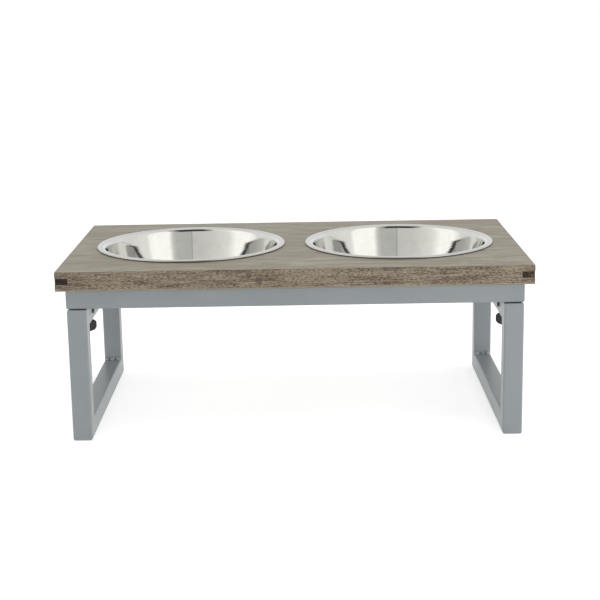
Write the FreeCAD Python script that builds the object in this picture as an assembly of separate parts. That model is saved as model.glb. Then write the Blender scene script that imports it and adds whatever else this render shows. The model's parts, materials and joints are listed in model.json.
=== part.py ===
import FreeCAD, Part
import math
import os

from FreeCAD import Vector

os.makedirs("parts", exist_ok=True)

# Elevated dog feeder: a wooden board with two lift-out steel bowls, on a tube frame whose legs fold inwards.
# Millimetres. +Z is up, +X to the right, the front faces -Y. The origin is on the floor under the middle.

# Tabletop board
TOP_LENGTH = 610.0
TOP_DEPTH = 355.0
TOP_THICKNESS = 25.4
TOP_EDGE_RADIUS = 0.8
TOP_SIDE_OVERHANG = 11.5
TOP_FRONT_OVERHANG = 10.0

# Dark keys let into the corners of the board
KEY_LENGTH = 17.0
KEY_HEIGHT = 8.0
KEY_RECESS = 0.5
KEY_FIT = 0.05

# Square steel tube of the frame and the legs
TUBE = 25.4
TUBE_WALL = 1.5
TUBE_RADIUS = 2.5
TUBE_INNER_RADIUS = max(TUBE_RADIUS - TUBE_WALL, 0.2)

# Legs and glides
LEG_HEIGHT = 174.5
LEG_GAP = 1.5
GLIDE_RADIUS = 5.0
GLIDE_DROP = 1.2
GLIDE_EDGE = 0.5
GLIDE_STEM_RADIUS = 2.5
GLIDE_STEM = 7.0
GLIDE_FIT = 0.05

# Pads on the legs' top bars, which the frame stands on when the legs are down
PAD_FROM_END = 30.0
PAD_LENGTH = 26.0
PAD_WIDTH = 18.0
PAD_CLEARANCE = 0.05

# Bowls
BOWL_END_MARGIN = 31.75
BOWL_GAP = 28.5
BOWL_FLANGE = 10.0
BOWL_SPREAD = 13.0
BOWL_RIM_HEIGHT = 3.4
BOWL_RIM_FALL = 0.8
BOWL_ROLL_WIDTH = 3.6
BOWL_ROLL_RADIUS = 1.3
BOWL_ROLL_FOOT_RADIUS = 0.8
BOWL_LIP_RADIUS = 4.0
BOWL_WALL = 1.0
BOWL_DEPTH = 55.0
BOWL_CORNER_RADIUS = 18.0
BOWL_HOLE_CLEARANCE = 1.8

# Plates and screws that hold the board on the frame
PLATE_THICKNESS = 4.0
GUSSET_LEG = 42.0
GUSSET_HOLE_INSET = 13.0
TAB_LENGTH = 42.0
TAB_WIDTH = 24.0
SCREW_RADIUS = 2.2
SCREW_BITE = 15.0
SCREW_TIP = 4.0
SCREW_HEAD_RADIUS = 4.4
SCREW_HEAD_HEIGHT = 3.0
SCREW_HOLE_FIT = 0.2
SCREW_PILOT_FIT = 0.05

# Leg hinges
HINGE_LENGTH = 130.0
HINGE_KNUCKLES = 7
HINGE_BARREL_RADIUS = 3.0
HINGE_PIN_RADIUS = 1.5
HINGE_PIN_HEAD_RADIUS = 2.4
HINGE_PIN_HEAD = 0.8
HINGE_PIN_FIT = 0.05
HINGE_KNUCKLE_GAP = 0.3
HINGE_LEAF_THICKNESS = 1.5
HINGE_LEAF_HEIGHT = 17.0
HINGE_LEAF_CLEARANCE = 0.4

# Blind rivets of the hinges
RIVETS_PER_LEAF = 3
RIVET_END_INSET = 18.0
RIVET_RADIUS = 1.6
RIVET_HEAD_RADIUS = 3.0
RIVET_HEAD = 1.0
RIVET_BULB_RADIUS = 2.4
RIVET_BULB = 3.0
RIVET_FIT = 0.05

# Leg latches: a catch on a cross pin through the leg's top bar, with a grip below the bar
LATCH_FROM_END = 54.0
LATCH_OFFSET = 15.0
LATCH_PLATE = 4.0
LATCH_SIDE_CLEARANCE = 1.0
LATCH_ARM_HALF = 3.5
LATCH_HUB_RADIUS = 6.0
LATCH_SWING_DEGREES = 9.0
LATCH_SLOT_CLEARANCE = 0.5
LATCH_NOSE_RISE = 2.0
LATCH_NOSE_RADIUS = 2.0
LATCH_PIN_RADIUS = 2.0
LATCH_PIN_FIT = 0.05
LATCH_PIN_HEAD_RADIUS = 3.5
LATCH_PIN_HEAD = 2.3
LATCH_PIN_HEAD_EDGE = 0.8
LATCH_PIN_END_RADIUS = 3.2
LATCH_PIN_END = 0.8
LATCH_BUSH_RADIUS = 3.5
LATCH_BUSH_PLAY = 0.15

# Latch grip, with its place given from the cross pin and the underside of the bar
GRIP_WIDTH = 18.0
GRIP_INNER_INSET = 3.4
GRIP_BACK = 7.0
GRIP_ELBOW = 36.0
GRIP_REACH = 52.5
GRIP_TOP_DROP = 2.0
GRIP_ELBOW_DROP = 7.8
GRIP_END_DROP = 13.9
GRIP_END_FOOT = 23.1
GRIP_BELLY_FOOT = 22.5
GRIP_HEEL_FOOT = 14.4
GRIP_CORNER_RADIUS = 3.0
GRIP_EDGE_RADIUS = 1.5
TANG_INSET = 3.4

# Latch return spring
SPRING_WIRE_RADIUS = 0.5
SPRING_BORE_CLEARANCE = 0.6
SPRING_COIL_LENGTH = 4.0
SPRING_COIL_THICKNESS = 1.2
SPRING_SIDE_PLAY = 0.3
SPRING_ARM = 7.0
SPRING_SEAT = 0.2

# Heights of the levels, worked out from the sizes above
LEG_BOTTOM = GLIDE_DROP
LEG_TOP = LEG_BOTTOM + LEG_HEIGHT
FRAME_BOTTOM = LEG_TOP + LEG_GAP
FRAME_TOP = FRAME_BOTTOM + TUBE
TOP_SURFACE = FRAME_TOP + TOP_THICKNESS

# Plan of the frame, and the faces of its left rail
FRAME_LENGTH = TOP_LENGTH - 2 * TOP_SIDE_OVERHANG
FRAME_DEPTH = TOP_DEPTH - 2 * TOP_FRONT_OVERHANG
LEFT_OUTER_X = -FRAME_LENGTH / 2
LEFT_INNER_X = LEFT_OUTER_X + TUBE
LEFT_MIDDLE_X = LEFT_OUTER_X + TUBE / 2
FRONT_Y = -FRAME_DEPTH / 2
FRONT_INNER_Y = FRONT_Y + TUBE

# The bowls fill the board's length between their margins, and their sides lean in to the floor
BOWL_RIM_RADIUS = (TOP_LENGTH - 2 * BOWL_END_MARGIN - BOWL_GAP) / 4
BOWL_SPACING = 2 * BOWL_RIM_RADIUS + BOWL_GAP
BOWL_MOUTH_RADIUS = BOWL_RIM_RADIUS - BOWL_FLANGE
BOWL_FLOOR_RADIUS = BOWL_MOUTH_RADIUS - BOWL_SPREAD

# Axes
HINGE_X = LEFT_INNER_X + HINGE_BARREL_RADIUS
HINGE_Z = LEG_TOP + LEG_GAP / 2
LATCH_Y = FRONT_Y + LATCH_FROM_END
LATCH_Z = LEG_TOP - TUBE / 2
LATCH_X = LEFT_INNER_X - LATCH_OFFSET

X_AXIS = Vector(1, 0, 0)
Y_AXIS = Vector(0, 1, 0)
Z_AXIS = Vector(0, 0, 1)
ORIGIN = Vector(0, 0, 0)


def box(x_span, y_span, z_span):
    """A block between two limits on each axis."""
    low = Vector(min(x_span), min(y_span), min(z_span))
    size = [max(span) - min(span) for span in (x_span, y_span, z_span)]
    return Part.makeBox(size[0], size[1], size[2], low)


def rod_x(x_span, y, z, radius):
    """A round bar along X."""
    return Part.makeCylinder(radius, max(x_span) - min(x_span), Vector(min(x_span), y, z), X_AXIS)


def rod_y(x, y_span, z, radius):
    """A round bar along Y."""
    return Part.makeCylinder(radius, max(y_span) - min(y_span), Vector(x, min(y_span), z), Y_AXIS)


def rod_z(x, y, z_span, radius):
    """A round bar along Z."""
    return Part.makeCylinder(radius, max(z_span) - min(z_span), Vector(x, y, min(z_span)), Z_AXIS)


def tangent_arc(before, corner, after, radius):
    """The two tangent points and the middle of the arc that rounds a corner."""
    to_before = (before - corner).normalize()
    to_after = (after - corner).normalize()
    half = to_before.getAngle(to_after) / 2
    reach = radius / math.tan(half)
    bisector = (to_before + to_after).normalize()
    centre = corner + bisector * (radius / math.sin(half))
    return corner + to_before * reach, centre - bisector * radius, corner + to_after * reach


def rounded_face(points, place):
    """A flat face from (a, b, corner radius) points, put in space by place(a, b)."""
    corners = [place(a, b) for a, b, _ in points]
    edges = []
    starts = []
    ends = []
    for i, (_, _, radius) in enumerate(points):
        if radius <= 0:
            starts.append(corners[i])
            ends.append(corners[i])
            continue
        first, middle, last = tangent_arc(corners[i - 1], corners[i], corners[(i + 1) % len(points)], radius)
        edges.append(Part.Arc(first, middle, last).toShape())
        starts.append(first)
        ends.append(last)
    for i in range(len(points)):
        edges.append(Part.makeLine(ends[i - 1], starts[i]))
    return Part.Face(Part.Wire(Part.__sortEdges__(edges)))


def fused(shapes):
    """One solid from overlapping or touching shapes."""
    return shapes[0].fuse(shapes[1:]).removeSplitter()


def without(shape, cutters):
    """The shape with every cutter taken out of it."""
    return shape.cut(Part.makeCompound(cutters))


def mirrored_x(shape):
    return shape.mirror(ORIGIN, X_AXIS)


def mirrored_y(shape):
    return shape.mirror(ORIGIN, Y_AXIS)


def square_section(size, radius, x):
    """A rounded square in the YZ plane, from y = 0 inwards and centred on z."""
    half = size / 2
    inset = (TUBE - size) / 2
    corners = [(inset, -half), (inset + size, -half), (inset + size, half), (inset, half)]
    return rounded_face([(y, z, radius) for y, z in corners], lambda y, z: Vector(x, y, z))


def mitred_tube(length):
    """Square tube along X, mitred at both ends, with its long face at y = 0 and its short face at y = TUBE."""
    start = -length / 2
    skin = square_section(TUBE, TUBE_RADIUS, start).extrude(X_AXIS * length)
    bore = square_section(TUBE - 2 * TUBE_WALL, TUBE_INNER_RADIUS, start).extrude(X_AXIS * length)
    plan = [(start, 0, 0), (-start, 0, 0), (-start - TUBE, TUBE, 0), (start + TUBE, TUBE, 0)]
    keep = rounded_face(plan, lambda x, y: Vector(x, y, -TUBE)).extrude(Z_AXIS * 2 * TUBE)
    return skin.cut(bore).common(keep)


def frame_tube(length, turn, place):
    """A tube of the flat top frame, turned about Z from the front rail's way round."""
    tube = mitred_tube(length)
    tube.rotate(ORIGIN, Z_AXIS, turn)
    tube.translate(place)
    return tube


def leg_tube(length, turn, place):
    """A tube of the left leg's upright frame, turned about X from the foot bar's way round."""
    tube = mitred_tube(length)
    tube.rotate(ORIGIN, Vector(1, 1, 1), 120)
    tube.rotate(ORIGIN, X_AXIS, turn)
    tube.translate(place)
    return tube


def latch_place(x):
    """Puts (towards the middle from the pin, up from the pin) of the left front latch in space."""
    return lambda u, w: Vector(x, LATCH_Y + u, LATCH_Z + w)


# Levels of the latch, up from its pin
BAR_TOP = TUBE / 2
RAIL_BOTTOM = BAR_TOP + LEG_GAP
RAIL_WALL_TOP = RAIL_BOTTOM + TUBE_WALL
NOSE_TOP = RAIL_WALL_TOP + LATCH_NOSE_RISE
CATCH_EDGE = LATCH_ARM_HALF + LATCH_SLOT_CLEARANCE
SWING = math.radians(LATCH_SWING_DEGREES)


def swing_room(level):
    """How far a point of the latch at this level moves as the latch swings, with the slot's clearance."""
    return level * math.sin(SWING) + LATCH_SLOT_CLEARANCE


def latch_slots():
    """The slots that the left front latch needs: in the rail's underside, and in the bar's top and underside."""
    half = LATCH_PLATE / 2 + LATCH_SIDE_CLEARANCE
    x_span = (LATCH_X - half, LATCH_X + half)
    back = -LATCH_ARM_HALF - swing_room(NOSE_TOP)
    rail = box(
        x_span,
        (LATCH_Y + back, LATCH_Y + CATCH_EDGE),
        (LATCH_Z + RAIL_BOTTOM - TUBE_WALL, LATCH_Z + RAIL_WALL_TOP + TUBE_WALL),
    )
    upper = box(
        x_span,
        (LATCH_Y + back, LATCH_Y + CATCH_EDGE),
        (LATCH_Z + BAR_TOP - 2 * TUBE_WALL, LATCH_Z + BAR_TOP + TUBE_WALL),
    )
    lower = box(
        x_span,
        (LATCH_Y - LATCH_ARM_HALF - 2 * LATCH_SLOT_CLEARANCE, LATCH_Y + LATCH_ARM_HALF + swing_room(BAR_TOP)),
        (LATCH_Z - BAR_TOP - TUBE_WALL, LATCH_Z - BAR_TOP + 2 * TUBE_WALL),
    )
    return rail, [upper, lower]


def rivet_places():
    """Places of a leaf's rivets along the hinge."""
    first = -HINGE_LENGTH / 2 + RIVET_END_INSET
    pitch = -2 * first / (RIVETS_PER_LEAF - 1)
    return [first + i * pitch for i in range(RIVETS_PER_LEAF)]


def leaf_middle():
    """Distance from the hinge axis to the middle of a leaf's free face."""
    root = HINGE_BARREL_RADIUS + HINGE_LEAF_CLEARANCE
    return (root + HINGE_LEAF_HEIGHT) / 2


def rivet_holes(side):
    """Holes for a leaf's rivets through the leaf and the tube wall: side is 1 above the axis, -1 below."""
    x_span = (LEFT_INNER_X - 2 * TUBE_WALL, LEFT_INNER_X + 2 * HINGE_LEAF_THICKNESS)
    z = HINGE_Z + side * leaf_middle()
    return [rod_x(x_span, y, z, RIVET_RADIUS + RIVET_FIT) for y in rivet_places()]


def rivets(side):
    """Set blind rivets of one leaf."""
    face = LEFT_INNER_X + HINGE_LEAF_THICKNESS
    inside = LEFT_INNER_X - TUBE_WALL
    z = HINGE_Z + side * leaf_middle()
    solids = []
    for y in rivet_places():
        head = rod_x((face, face + RIVET_HEAD), y, z, RIVET_HEAD_RADIUS)
        rim = [edge for edge in head.Edges if abs(edge.CenterOfMass.x - face - RIVET_HEAD) < 1e-6]
        head = head.makeFillet(RIVET_HEAD * 0.6, rim)
        shank = rod_x((inside, face), y, z, RIVET_RADIUS)
        bulb = rod_x((inside - RIVET_BULB, inside), y, z, RIVET_BULB_RADIUS)
        solids.append(fused([head, shank, bulb]))
    return solids


def hinge_leaf(side, parity):
    """One leaf with its knuckles: side is 1 for the frame's leaf, -1 for the leg's."""
    half = HINGE_LENGTH / 2
    pitch = HINGE_LENGTH / HINGE_KNUCKLES
    root = HINGE_BARREL_RADIUS + HINGE_LEAF_CLEARANCE
    x_span = (LEFT_INNER_X, LEFT_INNER_X + HINGE_LEAF_THICKNESS)
    leaf_z = (HINGE_Z + side * root, HINGE_Z + side * HINGE_LEAF_HEIGHT)
    pieces = [box(x_span, (-half, half), leaf_z)]
    for i in range(parity, HINGE_KNUCKLES, 2):
        low = -half + i * pitch + (HINGE_KNUCKLE_GAP / 2 if i > 0 else 0)
        high = -half + (i + 1) * pitch - (HINGE_KNUCKLE_GAP / 2 if i < HINGE_KNUCKLES - 1 else 0)
        pieces.append(rod_y(HINGE_X, (low, high), HINGE_Z, HINGE_BARREL_RADIUS))
        pieces.append(box(x_span, (low, high), (HINGE_Z, HINGE_Z + side * root)))
    bore = rod_y(HINGE_X, (-HINGE_LENGTH, HINGE_LENGTH), HINGE_Z, HINGE_PIN_RADIUS + HINGE_PIN_FIT)
    return without(fused(pieces), [bore] + rivet_holes(side))


def hinge_pin():
    """The hinge's pin, headed at both ends."""
    half = HINGE_LENGTH / 2
    shank = rod_y(HINGE_X, (-half, half), HINGE_Z, HINGE_PIN_RADIUS)
    heads = [
        rod_y(HINGE_X, (end, end + math.copysign(HINGE_PIN_HEAD, end)), HINGE_Z, HINGE_PIN_HEAD_RADIUS)
        for end in (-half, half)
    ]
    return fused([shank] + heads)


def pin_holes():
    """The hole for the left front latch's cross pin, through both side walls of the bar."""
    x_span = (LEFT_OUTER_X - TUBE_WALL, LEFT_INNER_X + TUBE_WALL)
    return rod_x(x_span, LATCH_Y, LATCH_Z, LATCH_PIN_RADIUS + LATCH_PIN_FIT)


def latch_pin():
    """The cross pin, with a round head on the inside of the leg and a peened end outside."""
    head = rod_x((LEFT_INNER_X, LEFT_INNER_X + LATCH_PIN_HEAD), LATCH_Y, LATCH_Z, LATCH_PIN_HEAD_RADIUS)
    tip = LEFT_INNER_X + LATCH_PIN_HEAD
    rim = [edge for edge in head.Edges if abs(edge.CenterOfMass.x - tip) < 1e-6]
    head = head.makeFillet(LATCH_PIN_HEAD_EDGE, rim)
    shank = rod_x((LEFT_OUTER_X, LEFT_INNER_X), LATCH_Y, LATCH_Z, LATCH_PIN_RADIUS)
    end = rod_x((LEFT_OUTER_X - LATCH_PIN_END, LEFT_OUTER_X), LATCH_Y, LATCH_Z, LATCH_PIN_END_RADIUS)
    return fused([head, shank, end])


def latch_bush():
    """The sleeve on the cross pin that keeps the catch in line with its slots."""
    inner = LEFT_INNER_X - TUBE_WALL - LATCH_BUSH_PLAY
    outer = LATCH_X + LATCH_PLATE / 2 + LATCH_BUSH_PLAY
    sleeve = rod_x((outer, inner), LATCH_Y, LATCH_Z, LATCH_BUSH_RADIUS)
    return sleeve.cut(rod_x((outer, inner), LATCH_Y, LATCH_Z, LATCH_PIN_RADIUS + LATCH_PIN_FIT))


# Outline of the grip, from the pin: the underside of the bar is one half tube below it
GRIP_TOP = -BAR_TOP - GRIP_TOP_DROP
GRIP_ELBOW_TOP = -BAR_TOP - GRIP_ELBOW_DROP
GRIP_END_TOP = -BAR_TOP - GRIP_END_DROP
GRIP_END_UNDER = -BAR_TOP - GRIP_END_FOOT
GRIP_BELLY_UNDER = -BAR_TOP - GRIP_BELLY_FOOT
GRIP_HEEL_UNDER = -BAR_TOP - GRIP_HEEL_FOOT


def tang_outline():
    """The catch's tail, which the grip is moulded round."""
    arm = LATCH_ARM_HALF
    return [
        (-arm, 0, 0),
        (-arm, GRIP_HEEL_UNDER + TANG_INSET, 0),
        (GRIP_REACH - 2 * TANG_INSET, GRIP_END_UNDER + TANG_INSET, 0),
        (GRIP_REACH - 2 * TANG_INSET, GRIP_END_TOP - TANG_INSET / 2, 0),
        (GRIP_ELBOW, GRIP_ELBOW_TOP - TANG_INSET, 0),
        (arm, GRIP_TOP - TANG_INSET, 0),
        (arm, 0, 0),
    ]


def plate_solid(points):
    """A plate of the left front latch's catch."""
    face = rounded_face(points, latch_place(LATCH_X - LATCH_PLATE / 2))
    return face.extrude(X_AXIS * LATCH_PLATE)


def latch_catch():
    """Steel catch: a hub on the pin, an arm with a round nose in the rail's slot, and a tail in the grip."""
    arm = LATCH_ARM_HALF
    upper = [
        (-arm, 0, 0),
        (arm, 0, 0),
        (arm, NOSE_TOP, LATCH_NOSE_RADIUS),
        (-arm, NOSE_TOP, LATCH_NOSE_RADIUS),
    ]
    x_span = (LATCH_X - LATCH_PLATE / 2, LATCH_X + LATCH_PLATE / 2)
    hub = rod_x(x_span, LATCH_Y, LATCH_Z, LATCH_HUB_RADIUS)
    blank = fused([plate_solid(upper), plate_solid(tang_outline()), hub])
    return blank.cut(rod_x(x_span, LATCH_Y, LATCH_Z, LATCH_PIN_RADIUS + LATCH_PIN_FIT))


def latch_grip():
    """Moulded grip below the bar, round the catch's tail."""
    corner = GRIP_CORNER_RADIUS
    outline = [
        (-GRIP_BACK, GRIP_TOP, corner),
        (GRIP_ELBOW, GRIP_ELBOW_TOP, corner),
        (GRIP_REACH, GRIP_END_TOP, corner),
        (GRIP_REACH, GRIP_END_UNDER, corner),
        (GRIP_ELBOW, GRIP_BELLY_UNDER, corner),
        (-GRIP_BACK, GRIP_HEEL_UNDER, corner),
    ]
    inner = LEFT_INNER_X - GRIP_INNER_INSET
    grip = rounded_face(outline, latch_place(inner - GRIP_WIDTH)).extrude(X_AXIS * GRIP_WIDTH)
    sides = (inner - GRIP_WIDTH, inner)
    rims = [edge for edge in grip.Edges if any(abs(edge.CenterOfMass.x - x) < 1e-6 for x in sides)]
    return grip.makeFillet(GRIP_EDGE_RADIUS, rims).cut(plate_solid(tang_outline()))


def latch_spring():
    """Return spring on the pin: its coil's outer shape, an arm on the bar and an arm behind the catch."""
    wire = SPRING_WIRE_RADIUS
    near = LATCH_X - LATCH_PLATE / 2 - SPRING_SIDE_PLAY
    far = near - SPRING_COIL_LENGTH
    bore = LATCH_PIN_RADIUS + SPRING_BORE_CLEARANCE
    skin = bore + SPRING_COIL_THICKNESS
    coil = rod_x((far, near), LATCH_Y, LATCH_Z, skin).cut(rod_x((far, near), LATCH_Y, LATCH_Z, bore))
    mean = (skin + bore) / 2
    bar_floor = LATCH_Z - BAR_TOP + TUBE_WALL + SPRING_SEAT
    lower = rod_z(far + 2 * wire, LATCH_Y + mean, (bar_floor, LATCH_Z), wire)
    behind = LATCH_Y - LATCH_ARM_HALF - wire - SPRING_SEAT
    raised = LATCH_Z + SPRING_ARM
    upper = rod_z(near - 2 * wire, behind, (LATCH_Z, raised), wire)
    bend = rod_x((near - 2 * wire, LATCH_X + LATCH_PLATE / 2), behind, raised, wire)
    return fused([coil, lower, upper, bend])


def glide(y):
    """A button glide pressed into the underside of the foot bar."""
    head = rod_z(LEFT_MIDDLE_X, y, (0, GLIDE_DROP), GLIDE_RADIUS)
    rim = [edge for edge in head.Edges if abs(edge.CenterOfMass.z) < 1e-6]
    head = head.makeFillet(GLIDE_EDGE, rim)
    stem = rod_z(LEFT_MIDDLE_X, y, (GLIDE_DROP, GLIDE_DROP + GLIDE_STEM), GLIDE_STEM_RADIUS)
    return fused([head, stem])


def stop_pad():
    """The left leg's front pad, in the gap between its top bar and the rail."""
    middle = FRONT_Y + PAD_FROM_END
    x_span = (LEFT_MIDDLE_X - PAD_WIDTH / 2, LEFT_MIDDLE_X + PAD_WIDTH / 2)
    y_span = (middle - PAD_LENGTH / 2, middle + PAD_LENGTH / 2)
    return box(x_span, y_span, (LEG_TOP, FRAME_BOTTOM - PAD_CLEARANCE))


def glide_hole(y):
    z_span = (LEG_BOTTOM - TUBE_WALL, LEG_BOTTOM + 2 * TUBE_WALL)
    return rod_z(LEFT_MIDDLE_X, y, z_span, GLIDE_STEM_RADIUS + GLIDE_FIT)


def both_ends(shape):
    """A cutter of the front end with its twin at the rear end."""
    return [shape, mirrored_y(shape)]


def left_leg():
    """The nodes of the left leg and its hinge and latches, by name without the side."""
    middle_z = (LEG_BOTTOM + LEG_TOP) / 2
    _, bar_slots = latch_slots()
    glide_y = FRONT_Y + TUBE / 2
    top_bar = leg_tube(FRAME_DEPTH, 180, Vector(LEFT_MIDDLE_X, 0, LEG_TOP))
    top_cutters = rivet_holes(-1)
    for cutter in bar_slots + [pin_holes()]:
        top_cutters += both_ends(cutter)
    foot_bar = leg_tube(FRAME_DEPTH, 0, Vector(LEFT_MIDDLE_X, 0, LEG_BOTTOM))
    nodes = {
        "front_post": [leg_tube(LEG_HEIGHT, -90, Vector(LEFT_MIDDLE_X, FRONT_Y, middle_z))],
        "rear_post": [leg_tube(LEG_HEIGHT, 90, Vector(LEFT_MIDDLE_X, -FRONT_Y, middle_z))],
        "top_bar": [without(top_bar, top_cutters)],
        "foot_bar": [without(foot_bar, both_ends(glide_hole(glide_y)))],
        "glides": [glide(glide_y), glide(-glide_y)],
        "stop_pads": both_ends(stop_pad()),
        "hinge_frame_leaf": [hinge_leaf(1, 0)],
        "hinge_leg_leaf": [hinge_leaf(-1, 1)],
        "hinge_pin": [hinge_pin()],
        "hinge_frame_rivets": rivets(1),
        "hinge_leg_rivets": rivets(-1),
    }
    latch = {
        "catch": latch_catch(),
        "grip": latch_grip(),
        "pin": latch_pin(),
        "bush": latch_bush(),
        "spring": latch_spring(),
    }
    for piece, shape in latch.items():
        nodes["front_latch_" + piece] = [shape]
        nodes["rear_latch_" + piece] = [mirrored_y(shape)]
    return nodes


def left_rail():
    """The side rail of the top frame that carries the left leg."""
    middle_z = (FRAME_BOTTOM + FRAME_TOP) / 2
    rail = frame_tube(FRAME_DEPTH, -90, Vector(LEFT_OUTER_X, 0, middle_z))
    rail_slot, _ = latch_slots()
    return without(rail, both_ends(rail_slot) + rivet_holes(1))


def front_rail():
    middle_z = (FRAME_BOTTOM + FRAME_TOP) / 2
    return frame_tube(FRAME_LENGTH, 0, Vector(0, FRONT_Y, middle_z))


def gusset_hole():
    """Plan place of the screw in the left front gusset."""
    return LEFT_INNER_X + GUSSET_HOLE_INSET, FRONT_INNER_Y + GUSSET_HOLE_INSET


def tab_hole():
    """Plan place of the screw in the front tab."""
    return 0.0, FRONT_INNER_Y + TAB_WIDTH / 2


def screw_places():
    """Plan places of all the screws that hold the board."""
    x, y = gusset_hole()
    corners = [(x, y), (-x, y), (x, -y), (-x, -y)]
    tab_x, tab_y = tab_hole()
    return corners + [(tab_x, tab_y), (tab_x, -tab_y)]


def plate_hole(place):
    z_span = (FRAME_TOP - 2 * PLATE_THICKNESS, FRAME_TOP + PLATE_THICKNESS)
    return rod_z(place[0], place[1], z_span, SCREW_RADIUS + SCREW_HOLE_FIT)


def gusset():
    """Three-cornered plate in the left front corner of the frame, flush with its top."""
    x, y = LEFT_INNER_X, FRONT_INNER_Y
    corners = [(x, y, 0), (x + GUSSET_LEG, y, 0), (x, y + GUSSET_LEG, 0)]
    face = rounded_face(corners, lambda a, b: Vector(a, b, FRAME_TOP - PLATE_THICKNESS))
    return face.extrude(Z_AXIS * PLATE_THICKNESS).cut(plate_hole(gusset_hole()))


def tab():
    """Plate at the middle of the front rail, flush with its top."""
    y_span = (FRONT_INNER_Y, FRONT_INNER_Y + TAB_WIDTH)
    z_span = (FRAME_TOP - PLATE_THICKNESS, FRAME_TOP)
    plate = box((-TAB_LENGTH / 2, TAB_LENGTH / 2), y_span, z_span)
    return plate.cut(plate_hole(tab_hole()))


def screw(place):
    """Wood screw from below, through a plate and into the board."""
    under = FRAME_TOP - PLATE_THICKNESS
    x, y = place
    head = rod_z(x, y, (under - SCREW_HEAD_HEIGHT, under), SCREW_HEAD_RADIUS)
    rim = [edge for edge in head.Edges if abs(edge.CenterOfMass.z - under + SCREW_HEAD_HEIGHT) < 1e-6]
    head = head.makeFillet(SCREW_HEAD_HEIGHT * 0.5, rim)
    shank = rod_z(x, y, (under, FRAME_TOP + SCREW_BITE - SCREW_TIP), SCREW_RADIUS)
    point = Part.makeCone(SCREW_RADIUS, 0.0, SCREW_TIP, Vector(x, y, FRAME_TOP + SCREW_BITE - SCREW_TIP))
    return fused([head, shank, point])


def pilot_hole(place):
    z_span = (FRAME_TOP - 1.0, FRAME_TOP + SCREW_BITE)
    return rod_z(place[0], place[1], z_span, SCREW_RADIUS + SCREW_PILOT_FIT)


def key_prism(fit, recess):
    """The three-cornered key at the board's left front corner, smaller all round by a fit."""
    x, y = -TOP_LENGTH / 2, -TOP_DEPTH / 2
    middle = TOP_SURFACE - TOP_THICKNESS / 2
    low = middle - KEY_HEIGHT / 2 + fit
    leg = KEY_LENGTH - fit * (1 + math.sqrt(2))
    corners = [(x + recess, y + recess, 0), (x + leg - recess, y + recess, 0), (x + recess, y + leg - recess, 0)]
    face = rounded_face(corners, lambda a, b: Vector(a, b, low))
    return face.extrude(Z_AXIS * (KEY_HEIGHT - 2 * fit))


def four_corners(shape):
    """A left front shape with its twins at the other three corners."""
    front = [shape, mirrored_x(shape)]
    return front + [mirrored_y(piece) for piece in front]


def bowl_mouth_outer(z):
    """Radius of the outside of the bowl's side at a height above the board."""
    rise = BOWL_DEPTH - BOWL_WALL
    spread = BOWL_MOUTH_RADIUS - BOWL_FLOOR_RADIUS
    thickness = BOWL_WALL * math.hypot(rise, spread) / rise
    return BOWL_MOUTH_RADIUS + thickness - spread / rise * (BOWL_RIM_HEIGHT - z)


def tabletop():
    """The board, with a round hole for each bowl, slots for the keys and pilot holes for the screws."""
    half_x, half_y = TOP_LENGTH / 2, TOP_DEPTH / 2
    board = box((-half_x, half_x), (-half_y, half_y), (FRAME_TOP, TOP_SURFACE))
    board = board.makeFillet(TOP_EDGE_RADIUS, board.Edges)
    hole_radius = bowl_mouth_outer(0) + BOWL_HOLE_CLEARANCE
    z_span = (FRAME_TOP - 1.0, TOP_SURFACE + 1.0)
    cutters = [rod_z(x, 0, z_span, hole_radius) for x in (-BOWL_SPACING / 2, BOWL_SPACING / 2)]
    cutters += four_corners(key_prism(0.0, 0.0))
    cutters += [pilot_hole(place) for place in screw_places()]
    return without(board, cutters)


def bowl(x):
    """A spun steel bowl that hangs in the board by its rolled rim."""
    floor = BOWL_RIM_HEIGHT - BOWL_DEPTH
    inside = floor + BOWL_WALL
    under = BOWL_RIM_HEIGHT - BOWL_WALL
    roll = BOWL_RIM_RADIUS - BOWL_ROLL_WIDTH
    outline = [
        (0, inside, 0),
        (BOWL_FLOOR_RADIUS, inside, BOWL_CORNER_RADIUS),
        (BOWL_MOUTH_RADIUS, BOWL_RIM_HEIGHT, BOWL_LIP_RADIUS),
        (BOWL_RIM_RADIUS, BOWL_RIM_HEIGHT - BOWL_RIM_FALL, BOWL_ROLL_RADIUS),
        (BOWL_RIM_RADIUS, 0, BOWL_ROLL_FOOT_RADIUS),
        (roll, 0, 0),
        (roll, under - BOWL_RIM_FALL, 0),
        (bowl_mouth_outer(under), under, BOWL_LIP_RADIUS - BOWL_WALL),
        (bowl_mouth_outer(floor), floor, BOWL_CORNER_RADIUS + BOWL_WALL),
        (0, floor, 0),
    ]
    face = rounded_face(outline, lambda r, z: Vector(r, 0, TOP_SURFACE + z))
    solid = face.revolve(ORIGIN, Z_AXIS, 360)
    solid.translate(Vector(x, 0, 0))
    return solid


def all_nodes():
    """Every node by name, as a list of its solids."""
    nodes = {
        "tabletop": [tabletop()],
        "corner_keys": four_corners(key_prism(KEY_FIT, KEY_RECESS)),
        "top_screws": [screw(place) for place in screw_places()],
        "front_rail": [front_rail()],
        "rear_rail": [mirrored_y(front_rail())],
        "left_rail": [left_rail()],
        "right_rail": [mirrored_x(left_rail())],
        "corner_gussets": four_corners(gusset()),
        "centre_tabs": both_ends(tab()),
        "left_bowl": [bowl(-BOWL_SPACING / 2)],
        "right_bowl": [bowl(BOWL_SPACING / 2)],
    }
    for name, solids in left_leg().items():
        nodes["left_" + name] = solids
        nodes["right_" + name] = [mirrored_x(solid) for solid in solids]
    return nodes


def write_nodes():
    """One STEP file for each node, with a line on its size."""
    for name, solids in all_nodes().items():
        shape = solids[0] if len(solids) == 1 else Part.makeCompound(solids)
        faults = "" if shape.isValid() else "  NOT VALID"
        print(f"{name}: {len(shape.Solids)} solids, {shape.Volume:.1f} mm3{faults}")
        shape.exportStep(f"parts/{name}.step")


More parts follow.
